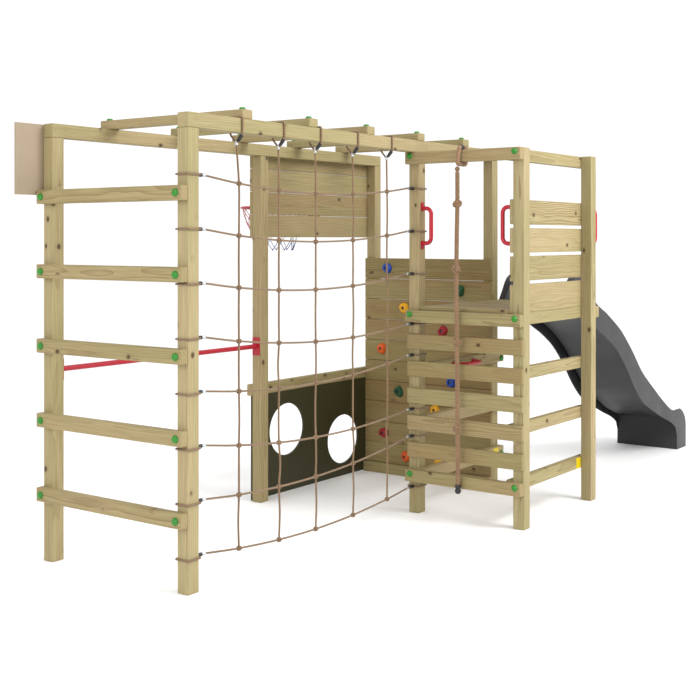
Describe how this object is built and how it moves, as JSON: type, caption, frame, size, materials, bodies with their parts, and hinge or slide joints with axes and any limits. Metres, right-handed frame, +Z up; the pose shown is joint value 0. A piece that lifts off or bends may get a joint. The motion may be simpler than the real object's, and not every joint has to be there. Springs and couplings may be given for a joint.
{
  "type": "climbing frame with slide",
  "caption": "Timber climbing frame: wall bars, monkey bars, rope net, goal wall, hoop, turn bar, and a decked tower with climbing wall, ladders, knotted rope and slide.",
  "frame": {"origin": "centre of the foot of the front wall-bar post, on the ground", "axes": "+X along the climbing net to the slide, +Y across the gym bay to the goal wall, +Z up"},
  "size_m": [5.01, 2.323, 2.258],
  "materials": {
    "pine_timber": "planed, pressure-treated pine with knots and growth rings",
    "pine_board": "planed, pressure-treated pine boards",
    "hold_blue": "fine-grained moulded plastic",
    "hold_green": "fine-grained moulded plastic",
    "hold_yellow": "fine-grained moulded plastic",
    "hold_red": "fine-grained moulded plastic",
    "hold_orange": "fine-grained moulded plastic",
    "zinc_steel": "zinc plated",
    "red_plastic": "smooth moulded plastic",
    "red_metal": "powder coated tube",
    "dark_panel": "dark film-faced board",
    "net_white": "braided cord in white, red and blue",
    "slide_plastic": "moulded polyethylene",
    "sign_board": "plain board",
    "yellow_tag": "plain plate",
    "green_cap": "moulded cap",
    "hemp_rope": "laid three-strand rope",
    "black_plastic": "moulded sleeve"
  },
  "bodies": {
    "frame": {"post_wallbar_front": "pine_timber", "post_wallbar_back": "pine_timber", "post_goal": "pine_timber", "post_net": "pine_timber", "post_deck_front": "pine_timber", "post_slide_front": "pine_timber", "post_slide_back": "pine_timber", "post_climb_back": "pine_timber", "beam_front": "pine_timber", "beam_back": "pine_timber", "monkey_rungs": "pine_timber", "wall_bar_1": "pine_timber", "wall_bar_2": "pine_timber", "wall_bar_3": "pine_timber", "wall_bar_4": "pine_timber", "wall_bar_5": "pine_timber", "rope_header": "pine_timber", "tower_top_rail": "pine_timber", "deck_rail_rope": "pine_timber", "deck_rail_ladder": "pine_timber", "deck_rail_net": "pine_timber", "deck_rail_slide": "pine_timber", "deck_boards": "pine_board", "rope_side_slats": "pine_board", "slat_bottom_rail": "pine_timber", "ladder_rungs": "pine_timber", "net_side_rungs": "pine_timber", "guard_boards": "pine_board", "climb_wall_boards": "pine_board", "climb_wall_bottom_rail": "pine_timber", "holds_blue": "hold_blue", "holds_green": "hold_green", "holds_yellow": "hold_yellow", "holds_red": "hold_red", "holds_orange": "hold_orange", "hold_bolts": "zinc_steel", "grab_handle_net": "red_plastic", "grab_handle_deck": "red_plastic", "grab_handle_slide": "red_plastic", "rung_grip": "red_plastic", "goal_rail": "pine_timber", "goal_panel": "dark_panel", "backboard": "pine_board", "hoop_ring": "red_metal", "hoop_net": "net_white", "turn_bar": "red_metal", "slide": "slide_plastic", "sign_board": "sign_board", "tag_plates": "yellow_tag", "coach_bolts": "zinc_steel", "bolt_caps": "green_cap", "net_cords": "hemp_rope", "net_knots": "hemp_rope", "net_fittings": "black_plastic", "rope_hitch": "hemp_rope"},
    "rope_link": {"rope_swivel": "hemp_rope"},
    "rope": {"climbing_rope": "hemp_rope", "rope_knots": "hemp_rope", "rope_end_cap": "black_plastic"}
  },
  "joints": [
    {"name": "rope_swing_out", "type": "hinge", "parent": "frame", "child": "rope_link", "pos_m": [1.752, -0.3525, 2.01704], "axis": [0, 1, 0], "range_deg": [0, 60]},
    {"name": "rope_swing_side", "type": "hinge", "parent": "rope_link", "child": "rope", "pos_m": [1.752, -0.3525, 2.01704], "axis": [1, 0, 0], "range_deg": [-30, 8]}
  ]
}
